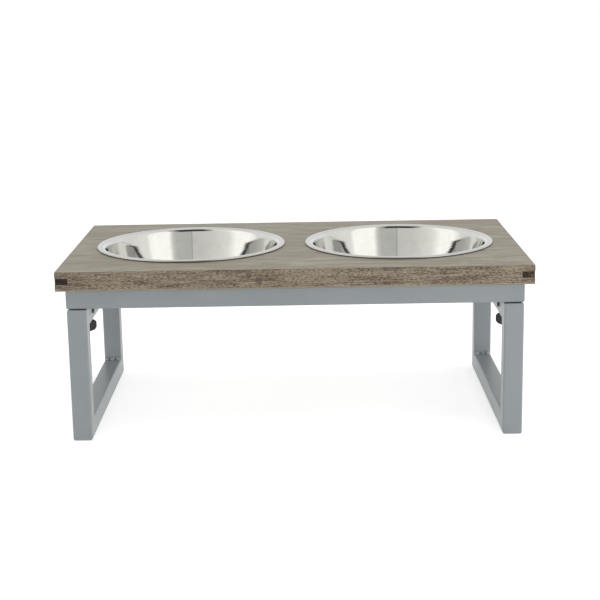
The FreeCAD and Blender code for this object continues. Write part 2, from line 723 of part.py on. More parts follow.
write_nodes()
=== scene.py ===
import json
import math

import bmesh
import bpy
from mathutils import Matrix, Vector


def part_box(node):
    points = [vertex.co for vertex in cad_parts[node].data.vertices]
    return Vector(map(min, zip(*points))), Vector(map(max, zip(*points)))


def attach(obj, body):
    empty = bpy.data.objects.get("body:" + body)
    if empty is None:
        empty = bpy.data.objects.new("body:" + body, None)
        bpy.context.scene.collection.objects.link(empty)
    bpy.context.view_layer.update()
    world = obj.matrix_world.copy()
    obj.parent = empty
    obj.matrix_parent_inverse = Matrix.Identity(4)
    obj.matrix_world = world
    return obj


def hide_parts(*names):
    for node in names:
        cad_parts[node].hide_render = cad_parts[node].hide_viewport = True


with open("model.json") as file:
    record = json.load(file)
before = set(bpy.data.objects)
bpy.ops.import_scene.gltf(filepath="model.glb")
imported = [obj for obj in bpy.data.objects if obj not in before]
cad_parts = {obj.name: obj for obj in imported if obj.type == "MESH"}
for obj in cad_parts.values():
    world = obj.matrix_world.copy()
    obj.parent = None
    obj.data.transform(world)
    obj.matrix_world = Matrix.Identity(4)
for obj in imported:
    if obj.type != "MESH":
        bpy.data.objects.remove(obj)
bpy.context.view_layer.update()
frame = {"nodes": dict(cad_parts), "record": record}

# Raised dog feeder: a stained board with two spun steel bowls on a folding tube stand.
# Metres, with the floor at z = 0, +X to the right and +Y to the rear.

scene = bpy.context.scene
scene.view_settings.view_transform = "Standard"

# Sizes that the finish needs, read from the model where it has them
BOARD_LOW, BOARD_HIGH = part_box("tabletop")
BOWL_LOW, BOWL_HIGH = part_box("left_bowl")
BOWL_RIM_RADIUS = (BOWL_HIGH[0] - BOWL_LOW[0]) / 2
BOWL_SIDE_X = abs(BOWL_HIGH[0] + BOWL_LOW[0]) / 2
BOARD_TOP = BOARD_HIGH[2]
BOARD_UNDER = BOARD_LOW[2]
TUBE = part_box("front_rail")[1][2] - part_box("front_rail")[0][2]

# Bowl section: insets are from the mouth's edge, widths from the rim's edge, falls from the rim's top,
# rises and heights from the board's top
BOWL_SEGMENTS = 192
BOWL_FLANGE = 0.010
BOWL_WALL = 0.001
BOWL_RIM_RISE = 0.0034
BOWL_RIM_FALL = 0.0008
BOWL_EDGE_RADIUS = 0.0013
BOWL_ROLL_WIDTH = 0.0036
BOWL_TUCK_WIDTH = 0.0018
BOWL_TUCK_HEIGHT = 0.0013
BOWL_TUCK_RADIUS = 0.0006
BOWL_CREASE_RADIUS = 0.0003
BOWL_LIP_RADIUS = 0.006
BOWL_SHOULDER_INSET = 0.0020
BOWL_SHOULDER_FALL = 0.0062
BOWL_SHOULDER_RADIUS = 0.015
BOWL_BELLY_INSET = 0.0052
BOWL_BELLY_FALL = 0.0240
BOWL_BELLY_RADIUS = 0.300
BOWL_FOOT_INSET = 0.0117
BOWL_FOOT_RADIUS = 0.0115
BOWL_FLOOR_MIDDLE = 0.040
FLANGE_BLEND = 0.003
BOWL_SHARP_ANGLE = math.radians(40)
MERGE_DISTANCE = 1e-6

# Welds
WELD_PITCH_IN_RADII = 1.75
WELD_UNEVENNESS = 0.22
LEG_WELD_RADIUS = 0.0034
LEG_WELD_INSET = 0.0045
LEG_WELD_STANDOFF = 0.0004
FRAME_WELD_RADIUS = 0.0017
FRAME_WELD_RISE = 0.003
PLATE_WELD_START = 0.006
PLATE_WELD_END = 0.034
TAB_WELD_INSET = 0.004

# Knots in the board's long edges: place along the board, height from its middle, half width and half height
KNOTS = ((-0.058, 0.0045, 0.0035, 0.0045), (-0.046, -0.0035, 0.0045, 0.0060))
ARRIS_TOP = 0.0028
ARRIS_FOOT = 0.0008


# Node helpers

def add(tree, kind, inputs=None, **settings):
    """A node with its settings made, and each input given a value or joined to a socket."""
    made = tree.nodes.new(kind)
    for name, value in settings.items():
        setattr(made, name, value)
    for name, value in (inputs or {}).items():
        if isinstance(value, bpy.types.NodeSocket):
            tree.links.new(value, made.inputs[name])
        else:
            made.inputs[name].default_value = value
    return made


def sums(tree, operation, first, second=0.0, third=0.0, clamp=False):
    """One sum on numbers or sockets."""
    given = {0: first, 1: second, 2: third}
    return add(tree, "ShaderNodeMath", given, operation=operation, use_clamp=clamp).outputs[0]


def remap(tree, value, low, high, out_low=0.0, out_high=1.0, smooth=True):
    """A value moved from one range to another, held at both ends."""
    kind = "SMOOTHSTEP" if smooth else "LINEAR"
    made = add(
        tree, "ShaderNodeMapRange",
        {"Value": value, "From Min": low, "From Max": high, "To Min": out_low, "To Max": out_high},
        interpolation_type=kind,
    )
    return made.outputs["Result"]


def noise(tree, coords, scale, detail=3.0, roughness=0.55, distortion=0.0):
    """Noise whose scale is given along each axis, in cycles for each metre."""
    mapped = add(tree, "ShaderNodeMapping", {"Vector": coords, "Scale": scale})
    made = add(
        tree, "ShaderNodeTexNoise",
        {"Vector": mapped.outputs[0], "Scale": 1.0, "Detail": detail, "Roughness": roughness,
         "Distortion": distortion},
    )
    return made.outputs["Fac"]


def blend(tree, factor, first, second, kind="MIX"):
    """Two colours mixed."""
    made = add(tree, "ShaderNodeMix", data_type="RGBA", blend_type=kind)
    for socket, value in ((0, factor), (6, first), (7, second)):
        if isinstance(value, bpy.types.NodeSocket):
            tree.links.new(value, made.inputs[socket])
        elif socket == 0:
            made.inputs[0].default_value = value
        else:
            made.inputs[socket].default_value = (*value, 1.0)
    return made.outputs[2]


def finish_material(name, **values):
    """A material with its tree, its main shader and its Object coordinates."""
    made = bpy.data.materials.new(name)
    made.use_nodes = True
    tree = made.node_tree
    shader = tree.nodes["Principled BSDF"]
    for socket, value in values.items():
        shader.inputs[socket.replace("_", " ")].default_value = value
    coords = tree.nodes.new("ShaderNodeTexCoord")
    return made, tree, shader, coords


def bump(tree, shader, height, strength, distance):
    """Relief on a shader from a height."""
    made = add(tree, "ShaderNodeBump", {"Height": height, "Strength": strength, "Distance": distance})
    tree.links.new(made.outputs[0], shader.inputs["Normal"])


# Finishes

def waves(tree, place, scale, distortion, detail, detail_scale, roughness, **kind):
    """Wavy bands or rings."""
    given = {"Vector": place, "Scale": scale, "Distortion": distortion, "Detail": detail,
             "Detail Scale": detail_scale, "Detail Roughness": roughness}
    return add(tree, "ShaderNodeTexWave", given, **kind).outputs["Fac"]


def board_face_colour(tree, place, fibres, pores):
    """Fine long grain of the board's top and underside."""
    bands = noise(tree, place, (13.0, 105.0, 105.0), 6.0, 0.68, 1.2)
    clouds = noise(tree, place, (8.0, 16.0, 16.0), 3.0, 0.55, 0.5)
    sweep = add(tree, "ShaderNodeMapping", {"Vector": place, "Scale": (0.10, 1.0, 1.0)}).outputs[0]
    lines = waves(tree, sweep, 34.0, 7.0, 4.0, 1.3, 0.62, wave_type="BANDS", bands_direction="Y")
    colour = blend(tree, remap(tree, bands, 0.41, 0.58), (0.245, 0.213, 0.154), (0.418, 0.383, 0.306))
    for grain, low, high, most, tint in (
        (fibres, 0.32, 0.70, 0.60, (0.415, 0.388, 0.322)),
        (lines, 0.55, 1.00, 0.38, (0.225, 0.194, 0.140)),
        (clouds, 0.44, 0.66, 0.50, (0.272, 0.232, 0.166)),
        (pores, 0.36, 0.22, 0.50, (0.150, 0.125, 0.092)),
    ):
        colour = blend(tree, remap(tree, grain, low, high, 0.0, most), colour, tint)
    return colour


def board_edge_colour(tree, place, streaks, dashes):
    """Rough-sawn grain of the board's long edges."""
    specks = noise(tree, place, (640.0, 1300.0, 1300.0), 2.0, 0.5)
    patches = noise(tree, place, (20.0, 20.0, 60.0), 3.0, 0.5, 0.4)
    colour = blend(tree, remap(tree, streaks, 0.38, 0.60), (0.125, 0.096, 0.066), (0.300, 0.247, 0.179))
    for grain, low, high, most, tint in (
        (patches, 0.50, 0.74, 0.60, (0.352, 0.292, 0.210)),
        (dashes, 0.48, 0.38, 0.95, (0.066, 0.048, 0.034)),
        (dashes, 0.54, 0.66, 0.75, (0.440, 0.376, 0.280)),
        (specks, 0.42, 0.28, 0.55, (0.090, 0.068, 0.050)),
    ):
        colour = blend(tree, remap(tree, grain, low, high, 0.0, most), colour, tint)
    return colour


def end_grain_colour(tree, place):
    """Year rings on the board's two ends."""
    heart = add(tree, "ShaderNodeMapping", {"Vector": place, "Location": (0.0, 0.03, -0.09)}).outputs[0]
    rings = waves(tree, heart, 46.0, 7.5, 5.0, 2.4, 0.68, wave_type="RINGS", rings_direction="X")
    tips = noise(tree, place, (900.0, 900.0, 900.0), 2.0, 0.6)
    colour = blend(tree, remap(tree, rings, 0.10, 1.0), (0.256, 0.208, 0.150), (0.196, 0.153, 0.107))
    return blend(tree, remap(tree, tips, 0.45, 0.30, 0.0, 0.55), colour, (0.085, 0.064, 0.046))


def with_knots(tree, spot, colour):
    """Dark knots in the edges, and a paler arris along their foot."""
    middle = (BOARD_TOP + BOARD_UNDER) / 2
    for x, z, width, height in KNOTS:
        across = sums(tree, "DIVIDE", sums(tree, "SUBTRACT", spot.outputs["X"], x), width)
        along = sums(tree, "DIVIDE", sums(tree, "SUBTRACT", spot.outputs["Z"], middle + z), height)
        reach = sums(tree, "ADD", sums(tree, "POWER", across, 2.0), sums(tree, "POWER", along, 2.0))
        colour = blend(tree, remap(tree, reach, 1.6, 0.2, 0.0, 0.55), colour, (0.085, 0.062, 0.045))
    arris = remap(tree, spot.outputs["Z"], BOARD_UNDER + ARRIS_TOP, BOARD_UNDER + ARRIS_FOOT, 0.0, 0.55)
    return blend(tree, arris, colour, (0.400, 0.325, 0.215))


def stained_board():
    """Grey-brown stained board: fine long grain on the faces, browner rough-sawn edges."""
    made, tree, shader, coords = finish_material("stained_board", Specular_IOR_Level=0.30)
    place = coords.outputs["Object"]
    spot = add(tree, "ShaderNodeSeparateXYZ", {0: place})
    normal = add(tree, "ShaderNodeSeparateXYZ", {0: coords.outputs["Normal"]})
    face = remap(tree, sums(tree, "ABSOLUTE", normal.outputs["Z"]), 0.35, 0.75)
    end = remap(tree, sums(tree, "ABSOLUTE", normal.outputs["X"]), 0.6, 0.8)
    side = sums(tree, "SUBTRACT", 1.0, face)

    fibres = noise(tree, place, (9.0, 420.0, 420.0), 6.0, 0.62, 0.3)
    pores = noise(tree, place, (55.0, 1100.0, 1100.0), 2.0, 0.6)
    streaks = noise(tree, place, (22.0, 380.0, 380.0), 6.0, 0.68, 0.5)
    dashes = noise(tree, place, (240.0, 1150.0, 1150.0), 3.0, 0.60)
    edge = blend(tree, end, board_edge_colour(tree, place, streaks, dashes), end_grain_colour(tree, place))
    edge = with_knots(tree, spot, edge)
    colour = blend(tree, face, edge, board_face_colour(tree, place, fibres, pores))
    tree.links.new(colour, shader.inputs["Base Color"])

    rough = remap(tree, fibres, 0.30, 0.70, 0.50, 0.66)
    tree.links.new(sums(tree, "MULTIPLY_ADD", side, 0.18, rough), shader.inputs["Roughness"])
    fine = sums(tree, "ADD", sums(tree, "MULTIPLY", fibres, face), sums(tree, "MULTIPLY", pores, 0.5))
    coarse = sums(tree, "ADD", sums(tree, "MULTIPLY", dashes, 1.4), streaks)
    bump(tree, shader, sums(tree, "MULTIPLY_ADD", coarse, side, fine), 0.35, 0.0006)
    return made


def dark_key_wood():
    """Near-black key wood, with a brown heart in the right-hand keys that is partly the wood and partly a
    painted glint.
    """
    made, tree, shader, coords = finish_material("dark_key_wood", Specular_IOR_Level=0.15)
    place = coords.outputs["Object"]
    streaks = noise(tree, place, (60.0, 60.0, 520.0), 4.0, 0.6, 0.4)
    heart = noise(tree, place, (120.0, 120.0, 160.0), 2.0, 0.5)
    colour = blend(tree, remap(tree, streaks, 0.30, 0.70), (0.010, 0.008, 0.008), (0.040, 0.031, 0.026))
    spot = add(tree, "ShaderNodeSeparateXYZ", {0: place})
    # Brown painted on the right-hand keys only: partly the wood's heart, partly a painted glint on that
    # side
    right_keys_heart_and_glint = remap(tree, spot.outputs["X"], -0.01, 0.01)
    brown = sums(tree, "MULTIPLY", remap(tree, heart, 0.50, 0.64, 0.0, 0.75), right_keys_heart_and_glint)
    colour = blend(tree, brown, colour, (0.170, 0.092, 0.050))
    tree.links.new(colour, shader.inputs["Base Color"])
    tree.links.new(remap(tree, streaks, 0.3, 0.7, 0.50, 0.72), shader.inputs["Roughness"])
    bump(tree, shader, streaks, 0.3, 0.0004)
    return made


def powder_coat(name, colour, mottle):
    """Satin powder coat with a fine orange-peel skin and a faint cloudiness."""
    made, tree, shader, coords = finish_material(name, Specular_IOR_Level=0.5)
    place = coords.outputs["Object"]
    peel = noise(tree, place, (1500.0, 1500.0, 1500.0), 2.0, 0.5)
    cloud = noise(tree, place, (14.0, 14.0, 14.0), 3.0, 0.55, 0.3)
    speck = noise(tree, place, (700.0, 700.0, 700.0), 1.0, 0.5)
    shade = tuple(part * (1.0 - mottle) for part in colour)
    light = tuple(part * (1.0 + mottle) for part in colour)
    tint = blend(tree, remap(tree, cloud, 0.30, 0.70), shade, light)
    bright = tuple(part * 1.25 for part in colour)
    tint = blend(tree, remap(tree, speck, 0.62, 0.80, 0.0, 0.25), tint, bright)
    tree.links.new(tint, shader.inputs["Base Color"])
    tree.links.new(remap(tree, peel, 0.3, 0.7, 0.30, 0.40), shader.inputs["Roughness"])
    bump(tree, shader, peel, 0.10, 0.0003)
    return made


def polished_steel(name, centre_x):
    """Spun stainless steel: mirror-bright inside, satin on the flange, with faint lathe rings."""
    made, tree, shader, coords = finish_material(name, Metallic=1.0)
    middle = add(tree, "ShaderNodeMapping", {
        "Vector": coords.outputs["Object"], "Location": (-centre_x, 0.0, 0.0),
    }).outputs[0]
    spot = add(tree, "ShaderNodeSeparateXYZ", {0: middle})
    square = sums(tree, "MULTIPLY_ADD", spot.outputs["X"], spot.outputs["X"],
                  sums(tree, "MULTIPLY", spot.outputs["Y"], spot.outputs["Y"]))
    radius = sums(tree, "SQRT", square)
    lathe = add(tree, "ShaderNodeCombineXYZ", {"X": radius, "Z": spot.outputs["Z"]})
    rings = noise(tree, lathe.outputs[0], (1400.0, 1.0, 1400.0), 3.0, 0.6)
    dents = noise(tree, middle, (14.0, 14.0, 10.0), 1.0, 0.4)
    smears = noise(tree, middle, (60.0, 60.0, 60.0), 4.0, 0.6, 0.6)
    mouth = BOWL_RIM_RADIUS - BOWL_FLANGE
    flange = remap(tree, radius, mouth, mouth + FLANGE_BLEND)
    colour = blend(tree, remap(tree, smears, 0.35, 0.75), (0.655, 0.655, 0.640), (0.610, 0.610, 0.592))
    colour = blend(tree, flange, colour, (0.490, 0.493, 0.474))
    tree.links.new(colour, shader.inputs["Base Color"])
    rough = remap(tree, smears, 0.30, 0.75, 0.018, 0.055)
    rough = sums(tree, "MULTIPLY_ADD", flange, 0.15, rough)
    tree.links.new(rough, shader.inputs["Roughness"])
    relief = sums(tree, "MULTIPLY_ADD", dents, 0.8, sums(tree, "MULTIPLY", rings, 0.03))
    bump(tree, shader, relief, 0.18, 0.0010)
    return made


def dark_zinc():
    """Black zinc-plated steel of the pins, rivets and screws."""
    made, tree, shader, coords = finish_material("dark_zinc", Metallic=0.85)
    place = coords.outputs["Object"]
    patch = noise(tree, place, (240.0, 240.0, 240.0), 4.0, 0.6)
    colour = blend(tree, remap(tree, patch, 0.3, 0.7), (0.045, 0.044, 0.046), (0.105, 0.100, 0.096))
    tree.links.new(colour, shader.inputs["Base Color"])
    tree.links.new(remap(tree, patch, 0.3, 0.7, 0.32, 0.52), shader.inputs["Roughness"])
    bump(tree, shader, patch, 0.08, 0.0002)
    return made


def moulded_black(name, colour, grain, rough, gloss):
    """Moulded black plastic or rubber with a spark-eroded grain."""
    made, tree, shader, coords = finish_material(name, Specular_IOR_Level=gloss)
    place = coords.outputs["Object"]
    skin = noise(tree, place, (grain, grain, grain), 2.0, 0.6)
    flow = noise(tree, place, (45.0, 45.0, 45.0), 2.0, 0.5, 0.4)
    paler = tuple(part * 1.8 for part in colour)
    tree.links.new(blend(tree, remap(tree, flow, 0.35, 0.70), colour, paler), shader.inputs["Base Color"])
    tree.links.new(remap(tree, skin, 0.3, 0.7, rough - 0.08, rough + 0.08), shader.inputs["Roughness"])
    bump(tree, shader, skin, 0.22, 0.0003)
    return made


BOARD = stained_board()
KEYS = dark_key_wood()
PAINT = powder_coat("blue_grey_paint", (0.268, 0.295, 0.308), mottle=0.035)
HINGE_PAINT = powder_coat("hinge_paint", (0.235, 0.260, 0.275), mottle=0.05)
ZINC = dark_zinc()
GRIP = moulded_black("grip_black", (0.016, 0.015, 0.015), grain=1300.0, rough=0.82, gloss=0.16)
GLIDE = moulded_black("glide_black", (0.030, 0.030, 0.031), grain=1000.0, rough=0.60, gloss=0.30)
RUBBER = moulded_black("pad_rubber", (0.020, 0.020, 0.020), grain=1600.0, rough=0.80, gloss=0.20)

FINISHES = {
    "board_wood": BOARD,
    "key_wood": KEYS,
    "frame_paint": PAINT,
    "hinge_steel": HINGE_PAINT,
    "fastener_steel": ZINC,
    "grip_plastic": GRIP,
    "glide_plastic": GLIDE,
    "pad_rubber": RUBBER,
}


def dress_model():
    """Gives every piece of the model the finish of its slot."""
    for entry in frame["record"]["subparts"]:
        finish = FINISHES.get(entry["material_slot"])
        if finish is None:
            continue
        mesh = frame["nodes"][entry["node"]].data
        mesh.materials.clear()
        mesh.materials.append(finish)


dress_model()


# Geometry trees

def new_tree(name, sockets):
    """An empty geometry tree with named inputs, and the identifier of each."""
    tree = bpy.data.node_groups.new(name, "GeometryNodeTree")
    tree.interface.new_socket("Geometry", in_out="INPUT", socket_type="NodeSocketGeometry")
    tree.interface.new_socket("Geometry", in_out="OUTPUT", socket_type="NodeSocketGeometry")
    keys = {}
    for label, kind in sockets:
        keys[label] = tree.interface.new_socket(label, in_out="INPUT", socket_type=kind).identifier
    return tree, keys, tree.nodes.new("NodeGroupInput"), tree.nodes.new("NodeGroupOutput")


def realised(name, base, tree, keys, values):
    """A plain mesh object from a base mesh and a tree with its inputs set."""
    holder = bpy.data.objects.new(name, base)
    scene.collection.objects.link(holder)
    modifier = holder.modifiers.new("make", "NODES")
    modifier.node_group = tree
    for label, value in values.items():
        modifier[keys[label]] = value
    bpy.context.view_layer.update()
    evaluated = holder.evaluated_get(bpy.context.evaluated_depsgraph_get())
    mesh = bpy.data.meshes.new_from_object(evaluated)
    holder.modifiers.remove(modifier)
    holder.data = mesh
    mesh.name = name
    return holder


def spun_shell_tree():
    """Turns a profile of (radius, 0, height) points about the vertical through the bowl's middle."""
    tree, keys, given, out = new_tree(
        "spun_shell",
        [("Points", "NodeSocketInt"), ("Segments", "NodeSocketInt"), ("Centre", "NodeSocketVector"),
         ("Finish", "NodeSocketMaterial")],
    )
    last = sums(tree, "SUBTRACT", given.outputs["Points"], 1.0)
    around = sums(tree, "ADD", given.outputs["Segments"], 1.0)
    grid = add(tree, "GeometryNodeMeshGrid", {
        "Size X": last, "Size Y": 1.0, "Vertices X": given.outputs["Points"], "Vertices Y": around,
    })
    place = add(tree, "ShaderNodeSeparateXYZ", {0: tree.nodes.new("GeometryNodeInputPosition").outputs[0]})
    step = sums(tree, "ROUND", sums(tree, "MULTIPLY_ADD", last, 0.5, place.outputs["X"]))
    angle = sums(tree, "MULTIPLY", sums(tree, "ADD", place.outputs["Y"], 0.5), 2.0 * math.pi)
    point = add(tree, "GeometryNodeSampleIndex", {
        "Geometry": given.outputs["Geometry"], "Index": step,
    }, data_type="FLOAT_VECTOR")
    tree.links.new(tree.nodes.new("GeometryNodeInputPosition").outputs[0], point.inputs["Value"])
    profile = add(tree, "ShaderNodeSeparateXYZ", {0: point.outputs["Value"]})
    spun = add(tree, "ShaderNodeCombineXYZ", {
        "X": sums(tree, "MULTIPLY", profile.outputs["X"], sums(tree, "COSINE", angle)),
        "Y": sums(tree, "MULTIPLY", profile.outputs["X"], sums(tree, "SINE", angle)),
        "Z": profile.outputs["Z"],
    })
    centred = add(tree, "ShaderNodeVectorMath", {
        0: spun.outputs[0], 1: given.outputs["Centre"],
    }, operation="ADD")
    moved = add(tree, "GeometryNodeSetPosition", {
        "Geometry": grid.outputs["Mesh"], "Position": centred.outputs[0],
    })
    merged = add(tree, "GeometryNodeMergeByDistance", {
        "Geometry": moved.outputs[0], "Distance": MERGE_DISTANCE,
    })
    smooth = add(tree, "GeometryNodeSetShadeSmooth", {"Geometry": merged.outputs[0]})
    whole = add(tree, "GeometryNodeRealizeInstances", {"Geometry": smooth.outputs[0]})
    coated = add(tree, "GeometryNodeSetMaterial", {
        "Geometry": whole.outputs[0], "Material": given.outputs["Finish"],
    })
    tree.links.new(coated.outputs[0], out.inputs[0])
    return tree, keys


def weld_tree():
    """Lumps of weld spaced along every edge of the base mesh, uneven in size and place."""
    tree, keys, given, out = new_tree(
        "weld_run",
        [("Pitch", "NodeSocketFloat"), ("Radius", "NodeSocketFloat"),
         ("Unevenness", "NodeSocketFloat"), ("Seed", "NodeSocketInt"), ("Finish", "NodeSocketMaterial")],
    )
    path = add(tree, "GeometryNodeMeshToCurve", {"Mesh": given.outputs["Geometry"]})
    spaced = add(tree, "GeometryNodeResampleCurve", {
        "Curve": path.outputs[0], "Length": given.outputs["Pitch"],
    }, mode="LENGTH")
    lump = add(tree, "GeometryNodeMeshIcoSphere", {"Radius": given.outputs["Radius"], "Subdivisions": 3})
    least = sums(tree, "SUBTRACT", 1.0, given.outputs["Unevenness"])
    most = sums(tree, "ADD", 1.0, given.outputs["Unevenness"])
    size = add(tree, "FunctionNodeRandomValue", {"Seed": given.outputs["Seed"]}, data_type="FLOAT")
    tree.links.new(least, size.inputs[2])
    tree.links.new(most, size.inputs[3])
    shift = sums(tree, "MULTIPLY", given.outputs["Radius"], given.outputs["Unevenness"])
    wander = add(tree, "FunctionNodeRandomValue", {
        "Seed": given.outputs["Seed"],
    }, data_type="FLOAT_VECTOR")
    low = add(tree, "ShaderNodeVectorMath", {0: (-1.0, -1.0, -1.0), "Scale": shift}, operation="SCALE")
    high = add(tree, "ShaderNodeVectorMath", {0: (1.0, 1.0, 1.0), "Scale": shift}, operation="SCALE")
    tree.links.new(low.outputs[0], wander.inputs[0])
    tree.links.new(high.outputs[0], wander.inputs[1])
    loose = add(tree, "GeometryNodeSetPosition", {
        "Geometry": spaced.outputs[0], "Offset": wander.outputs[0],
    })
    beads = add(tree, "GeometryNodeInstanceOnPoints", {
        "Points": loose.outputs[0], "Instance": lump.outputs["Mesh"], "Scale": size.outputs[1],
    })
    whole = add(tree, "GeometryNodeRealizeInstances", {"Geometry": beads.outputs[0]})
    smooth = add(tree, "GeometryNodeSetShadeSmooth", {"Geometry": whole.outputs[0]})
    coated = add(tree, "GeometryNodeSetMaterial", {
        "Geometry": smooth.outputs[0], "Material": given.outputs["Finish"],
    })
    tree.links.new(coated.outputs[0], out.inputs[0])
    return tree, keys


# Bowls

def rounded_profile(points, steps=9):
    """Points of an open outline of (radius, height, corner radius), with its corners rounded."""
    outline = []
    for i, (r, z, radius) in enumerate(points):
        corner = Vector((r, z))
        if radius <= 0:
            outline.append(corner)
            continue
        back = (Vector(points[i - 1][:2]) - corner).normalized()
        ahead = (Vector(points[i + 1][:2]) - corner).normalized()
        half = back.angle(ahead) / 2
        bisector = (back + ahead).normalized()
        centre = corner + bisector * (radius / math.sin(half))
        first = corner + back * (radius / math.tan(half)) - centre
        last = corner + ahead * (radius / math.tan(half)) - centre
        turn = first.angle_signed(last)
        for k in range(steps + 1):
            outline.append(centre + Matrix.Rotation(-turn * k / steps, 2) @ first)
    return outline


def bowl_profile():
    """Section of the bowl from the middle of its floor, over the rim and back underneath."""
    rim = BOWL_RIM_RADIUS
    mouth = rim - BOWL_FLANGE
    foot = mouth - BOWL_FOOT_INSET
    roll = rim - BOWL_ROLL_WIDTH
    wall = BOWL_WALL
    floor, top = BOWL_LOW[2], BOARD_TOP + BOWL_RIM_RISE
    shoulder = (mouth - BOWL_SHOULDER_INSET, top - BOWL_SHOULDER_FALL)
    belly = (mouth - BOWL_BELLY_INSET, top - BOWL_BELLY_FALL)
    return rounded_profile([
        (0.0, floor + wall, 0.0),
        (BOWL_FLOOR_MIDDLE, floor + wall, 0.0),
        (foot, floor + wall, BOWL_FOOT_RADIUS),
        (*belly, BOWL_BELLY_RADIUS),
        (*shoulder, BOWL_SHOULDER_RADIUS),
        (mouth, top, BOWL_LIP_RADIUS),
        (rim, top - BOWL_RIM_FALL, BOWL_EDGE_RADIUS),
        (rim, BOARD_TOP + BOWL_TUCK_HEIGHT, BOWL_TUCK_RADIUS),
        (rim - BOWL_TUCK_WIDTH, BOARD_TOP, BOWL_CREASE_RADIUS),
        (roll, BOARD_TOP, BOWL_CREASE_RADIUS),
        (roll, top - wall - BOWL_RIM_FALL, BOWL_CREASE_RADIUS),
        (mouth + wall, top - wall, BOWL_LIP_RADIUS - wall),
        (shoulder[0] + wall, shoulder[1], BOWL_SHOULDER_RADIUS + wall),
        (belly[0] + wall, belly[1], BOWL_BELLY_RADIUS),
        (foot + wall, floor, BOWL_FOOT_RADIUS + wall),
        (BOWL_FLOOR_MIDDLE, floor, 0.0),
        (0.0, floor, 0.0),
    ])


def spun_bowl(side, centre_x, tree, keys):
    """One lift-out bowl."""
    outline = bowl_profile()
    base = bpy.data.meshes.new("bowl_profile")
    edges = [(i, i + 1) for i in range(len(outline) - 1)]
    base.from_pydata([(p.x, 0.0, p.y) for p in outline], edges, [])
    piece = realised(f"{side}_spun_bowl", base, tree, keys, {
        "Points": len(outline), "Segments": BOWL_SEGMENTS, "Centre": (centre_x, 0.0, 0.0),
        "Finish": polished_steel(f"{side}_bowl_steel", centre_x),
    })
    shell = bmesh.new()
    shell.from_mesh(piece.data)
    bmesh.ops.remove_doubles(shell, verts=shell.verts, dist=MERGE_DISTANCE)
    bmesh.ops.recalc_face_normals(shell, faces=shell.faces)
    shell.to_mesh(piece.data)
    shell.free()
    piece.data.set_sharp_from_angle(angle=BOWL_SHARP_ANGLE)
    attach(piece, f"{side}_bowl")
    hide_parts(f"{side}_bowl")


shell_tree, shell_keys = spun_shell_tree()
spun_bowl("left", -BOWL_SIDE_X, shell_tree, shell_keys)
spun_bowl("right", BOWL_SIDE_X, shell_tree, shell_keys)


# Welds

def weld_runs(name, body, runs, tree, keys, seed, radius=LEG_WELD_RADIUS):
    """Weld beads along straight runs on one body."""
    base = bpy.data.meshes.new(name)
    points = [end for run in runs for end in run]
    base.from_pydata(points, [(2 * i, 2 * i + 1) for i in range(len(runs))], [])
    piece = realised(name, base, tree, keys, {
        "Pitch": radius * WELD_PITCH_IN_RADII, "Radius": radius, "Unevenness": WELD_UNEVENNESS,
        "Seed": seed, "Finish": PAINT,
    })
    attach(piece, body)


def leg_weld_runs(side):
    """Runs across the four inner corners of a leg."""
    low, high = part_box(f"{side}_front_post")
    rear_low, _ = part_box(f"{side}_rear_post")
    ends = (low[0] + LEG_WELD_INSET, high[0] - LEG_WELD_INSET)
    runs = []
    for y in (high[1] + LEG_WELD_STANDOFF, rear_low[1] - LEG_WELD_STANDOFF):
        for z in (low[2] + TUBE + LEG_WELD_STANDOFF, high[2] - TUBE - LEG_WELD_STANDOFF):
            runs.append([(ends[0], y, z), (ends[1], y, z)])
    return runs


def frame_weld_runs():
    """Runs in the top frame's inner corners, and under its plates."""
    low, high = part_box("front_rail")
    inner_y = high[1]
    inner_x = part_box("right_rail")[0][0]
    plate_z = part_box("corner_gussets")[0][2]
    tab_low, tab_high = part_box("centre_tabs")
    runs = []
    for sx in (-1, 1):
        for sy in (-1, 1):
            x, y = sx * inner_x, -sy * inner_y
            x_ends = [x - sx * along for along in (PLATE_WELD_START, PLATE_WELD_END)]
            y_ends = [y - sy * along for along in (PLATE_WELD_START, PLATE_WELD_END)]
            runs.append([(x, y, low[2] + FRAME_WELD_RISE), (x, y, plate_z)])
            runs.append([(end, y, plate_z) for end in x_ends])
            runs.append([(x, end, plate_z) for end in y_ends])
    for sy in (-1, 1):
        y = -sy * inner_y
        tab_ends = (tab_low[0] + TAB_WELD_INSET, tab_high[0] - TAB_WELD_INSET)
        runs.append([(end, y, tab_low[2]) for end in tab_ends])
    return runs


bead_tree, bead_keys = weld_tree()
weld_runs("left_leg_welds", "left_leg", leg_weld_runs("left"), bead_tree, bead_keys, seed=3)
weld_runs("right_leg_welds", "right_leg", leg_weld_runs("right"), bead_tree, bead_keys, seed=11)
weld_runs("frame_welds", "top_frame", frame_weld_runs(), bead_tree, bead_keys, seed=7,
          radius=FRAME_WELD_RADIUS)


# Studio

FLOOR_REACH = 9
FLOOR_SHADE = (0.84, 0.84, 0.84, 1.0)
FLOOR_GLOW = 0.62
WORLD_LIGHT = 0.48
WARM_WHITE = (1.0, 0.985, 0.95)

# Shade of the panels round the camera, by degrees from straight ahead of the feeder
PANEL_ARC = (
    (-100, 1.1), (-88, 1.46), (-66, 1.46), (-52, 1.06), (-24, 0.84), (0.3, 0.78), (0.6, 0.45), (1.4, 0.45),
    (1.7, 0.64), (24, 0.67), (29, 0.82), (35, 1.46), (64, 1.46), (70, 1.1), (100, 1.0),
)
PANEL_DISTANCE = 3.0
PANEL_LOW, PANEL_HIGH = 0.25, 3.6
PANEL_TINT = (1.0, 0.998, 0.945, 1.0)

# Dark strip overhead, by share of its half width, with its two ends as half width, y and z
CEILING_SHADES = ((-1.0, 0.9), (-0.5, 0.08), (0.5, 0.08), (1.0, 0.9))
CEILING_ENDS = ((1.7, -2.85, 1.80), (0.8, -0.2, 2.6))

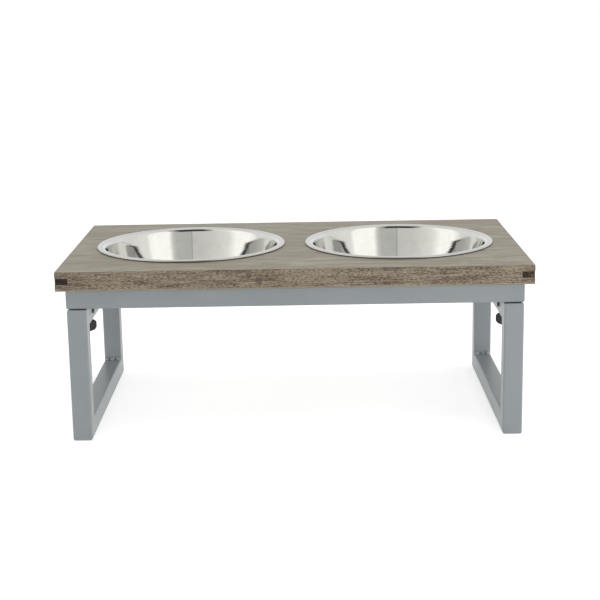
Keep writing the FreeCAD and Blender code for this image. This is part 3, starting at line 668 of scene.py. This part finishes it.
# Camera fitted to straight edges in the photograph, which is 600 pixels wide: metres and radians
PHOTO_WIDTH = 600.0
FOCAL_PIXELS = 1393.96
CAMERA_PLACE = (0.01189, -1.90657, 0.57732)
CAMERA_TURN, CAMERA_TILT, CAMERA_ROLL = 0.00330, 0.22198, -0.01686


def seen_directly(tree):
    """One for rays from the camera, off a gloss or through glass, else nought."""
    path = tree.nodes.new("ShaderNodeLightPath")
    seen = sums(tree, "ADD", path.outputs["Is Camera Ray"], path.outputs["Is Glossy Ray"], clamp=True)
    return sums(tree, "ADD", seen, path.outputs["Is Transmission Ray"], clamp=True)


def stage_piece(name, points, faces, finish):
    """A piece of the studio, which is no part of the feeder."""
    mesh = bpy.data.meshes.new(name)
    mesh.from_pydata(points, [], faces)
    mesh.materials.append(finish)
    piece = bpy.data.objects.new(name, mesh)
    scene.collection.objects.link(piece)
    return piece


def floor_finish():
    """Pale floor that keeps the soft shadow and meets the white background."""
    made = bpy.data.materials.new("studio_floor")
    made.use_nodes = True
    tree = made.node_tree
    tree.nodes.clear()
    matt = add(tree, "ShaderNodeBsdfDiffuse", {"Color": FLOOR_SHADE})
    level = sums(tree, "MULTIPLY", seen_directly(tree), FLOOR_GLOW)
    glow = add(tree, "ShaderNodeEmission", {"Strength": level})
    both = add(tree, "ShaderNodeAddShader", {0: matt.outputs[0], 1: glow.outputs[0]})
    end = tree.nodes.new("ShaderNodeOutputMaterial")
    tree.links.new(both.outputs[0], end.inputs["Surface"])
    return made


def panel_finish():
    """Glow of a studio panel, from the shade held at each of its points."""
    made = bpy.data.materials.new("studio_panels")
    made.use_nodes = True
    tree = made.node_tree
    tree.nodes.clear()
    shade = add(tree, "ShaderNodeAttribute", attribute_name="shade")
    glow = add(tree, "ShaderNodeEmission", {"Color": PANEL_TINT, "Strength": shade.outputs["Fac"]})
    end = tree.nodes.new("ShaderNodeOutputMaterial")
    tree.links.new(glow.outputs[0], end.inputs["Surface"])
    return made


def only_in_gloss(piece):
    """Shows a panel in polished metal alone."""
    piece.visible_camera = False
    piece.visible_diffuse = False
    piece.visible_transmission = False
    piece.visible_shadow = False


def shaded_run(name, pairs, shades, finish):
    """A run of panels between pairs of points, with one shade for each pair."""
    points = [point for pair in pairs for point in pair]
    faces = [(2 * i, 2 * i + 2, 2 * i + 3, 2 * i + 1) for i in range(len(pairs) - 1)]
    piece = stage_piece(name, points, faces, finish)
    held = piece.data.attributes.new("shade", "FLOAT", "POINT")
    held.data.foreach_set("value", [shade for shade in shades for _ in range(2)])
    only_in_gloss(piece)


def studio_panels():
    """Tall panels on an arc round the camera and a dark strip overhead, as the bowls mirror them."""
    finish = panel_finish()
    uprights = []
    for degrees, _ in PANEL_ARC:
        turn = math.radians(degrees)
        x, y = PANEL_DISTANCE * math.sin(turn), -PANEL_DISTANCE * math.cos(turn)
        uprights.append([(x, y, PANEL_LOW), (x, y, PANEL_HIGH)])
    shaded_run("studio_panels", uprights, [shade for _, shade in PANEL_ARC], finish)
    slats = [[(share * half, y, z) for half, y, z in CEILING_ENDS] for share, _ in CEILING_SHADES]
    shaded_run("studio_ceiling", slats, [shade for _, shade in CEILING_SHADES], finish)


def studio_world():
    """White to the camera and in reflections, softer as light."""
    world = bpy.data.worlds.new("studio_world")
    scene.world = world
    world.use_nodes = True
    tree = world.node_tree
    tree.nodes.clear()
    level = remap(tree, seen_directly(tree), 0.0, 1.0, WORLD_LIGHT, 1.0, smooth=False)
    sky = add(tree, "ShaderNodeBackground", {"Color": (1.0, 1.0, 1.0, 1.0), "Strength": level})
    end = tree.nodes.new("ShaderNodeOutputWorld")
    tree.links.new(sky.outputs[0], end.inputs["Surface"])


def softbox(name, place, aim, size, power, colour=(1.0, 1.0, 1.0)):
    """A rectangular lamp that points at a place and stays out of reflections."""
    lamp = bpy.data.lights.new(name, "AREA")
    lamp.shape = "RECTANGLE"
    lamp.size, lamp.size_y = size
    lamp.energy = power
    lamp.color = colour
    box = bpy.data.objects.new(name, lamp)
    box.location = place
    box.rotation_euler = (Vector(aim) - Vector(place)).to_track_quat("-Z", "Y").to_euler()
    box.visible_glossy = False
    scene.collection.objects.link(box)


def photo_camera():
    """Camera at the photograph's place."""
    turn, tilt, roll = CAMERA_TURN, CAMERA_TILT, CAMERA_ROLL
    vertical = Vector((0, 0, 1))
    right = Vector((math.cos(turn), math.sin(turn), 0.0))
    level = Vector((-math.sin(turn), math.cos(turn), 0.0))
    ahead = level * math.cos(tilt) - vertical * math.sin(tilt)
    up = level * math.sin(tilt) + vertical * math.cos(tilt)
    across = right * math.cos(roll) + up * math.sin(roll)
    upright = up * math.cos(roll) - right * math.sin(roll)
    lens = bpy.data.cameras.new("photo_camera")
    lens.sensor_fit = "HORIZONTAL"
    lens.sensor_width = 36.0
    lens.lens = FOCAL_PIXELS / PHOTO_WIDTH * lens.sensor_width
    lens.clip_start, lens.clip_end = 0.05, 60.0
    camera = bpy.data.objects.new("photo_camera", lens)
    view = Matrix((across, upright, -ahead)).transposed().to_4x4()
    camera.matrix_world = Matrix.Translation(CAMERA_PLACE) @ view
    scene.collection.objects.link(camera)
    scene.camera = camera


FLOOR_CORNERS = [(x * FLOOR_REACH, y * FLOOR_REACH, 0) for x, y in ((-1, -1), (1, -1), (1, 1), (-1, 1))]
stage_piece("studio_floor", FLOOR_CORNERS, [(0, 1, 2, 3)], floor_finish())
studio_panels()
studio_world()
softbox("left_softbox", (-1.9, -1.6, 0.50), aim=(0.0, 0.0, 0.10), size=(1.4, 0.7), power=5.0)
softbox("right_softbox", (1.35, -1.75, 0.45), aim=(0.1, 0.0, 0.10), size=(1.2, 0.7), power=14.0)
softbox("top_softbox", (0.2, -0.3, 2.3), aim=(0.0, 0.0, 0.2), size=(2.4, 1.8), power=16.0)
softbox("left_low_softbox", (-2.1, -0.2, 0.25), aim=(0.0, 0.0, 0.08), size=(1.6, 0.45), power=9.0,
        colour=WARM_WHITE)
softbox("right_low_softbox", (2.1, -0.2, 0.25), aim=(0.0, 0.0, 0.08), size=(1.6, 0.45), power=12.0,
        colour=WARM_WHITE)
photo_camera()
